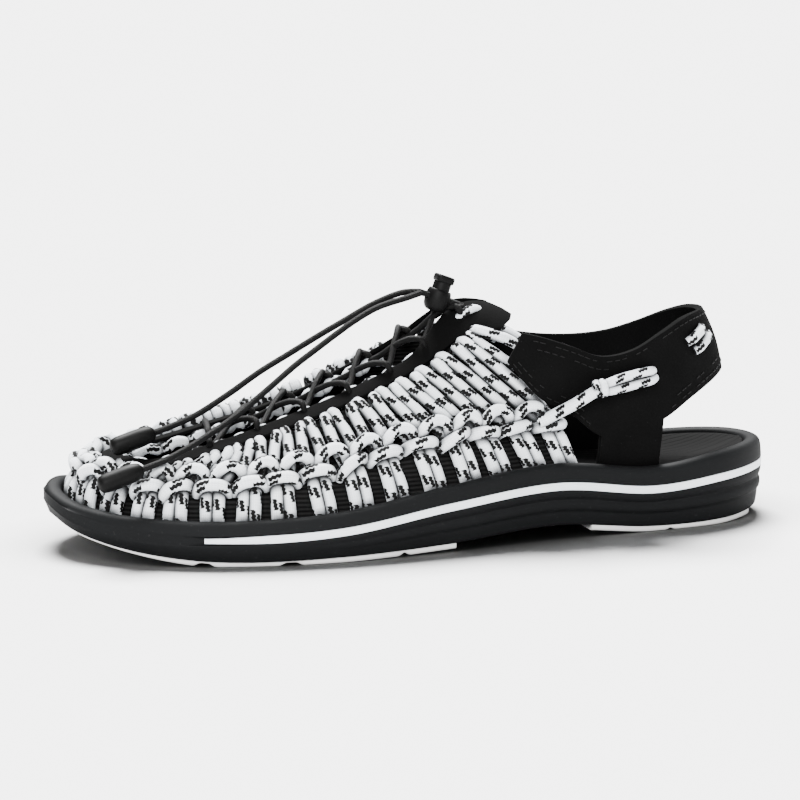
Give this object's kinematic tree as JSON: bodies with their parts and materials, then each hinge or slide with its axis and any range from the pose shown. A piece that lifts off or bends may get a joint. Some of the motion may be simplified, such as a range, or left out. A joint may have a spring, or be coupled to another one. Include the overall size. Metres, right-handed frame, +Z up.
{
  "type": "woven sandal",
  "caption": "Left woven cord sandal: moulded cup sole with white side band, looped cord upper, black eyestay, heel strap and bungee lacing with a sprung cord lock.",
  "frame": {"origin": "on the floor, under the middle of the sole's length and width", "axes": "+X from the toe to the heel, -Y towards the lateral side, +Z up"},
  "size_m": [0.288, 0.1016, 0.1001],
  "materials": {
    "black_eva": "satin moulded foam with a fine grain",
    "black_footbed": "matte foam with contour grooves",
    "white_stripe": "satin moulded inlay",
    "white_rubber": "matte tread rubber",
    "white_cord": "braided round cord with black flecks",
    "black_microfibre": "matte brushed microfibre",
    "black_bungee": "woven elastic sleeve",
    "black_moulding": "matte moulded plastic"
  },
  "bodies": {
    "sandal": {"midsole": "black_eva", "insole": "black_footbed", "side_stripe": "white_stripe", "outsole_forefoot": "white_rubber", "outsole_heel": "white_rubber", "cord_upper": "white_cord", "eyestay": "black_microfibre", "heel_strap": "black_microfibre", "heel_cord_lateral": "white_cord", "heel_cord_medial": "white_cord", "heel_back_cord": "white_cord", "lace": "black_bungee", "lace_tail_upper": "black_bungee", "lace_tail_lower": "black_bungee", "lace_tip_upper": "black_moulding", "lace_tip_lower": "black_moulding", "cord_lock_barrel": "black_moulding"},
    "lock_button": {"cord_lock_button": "black_moulding"}
  },
  "joints": [
    {"name": "lock_press", "type": "slide", "parent": "sandal", "child": "lock_button", "axis": [-0.342, 0, -0.9397], "range_m": [0, 0.0025], "stiffness_N_per_m": 400}
  ]
}
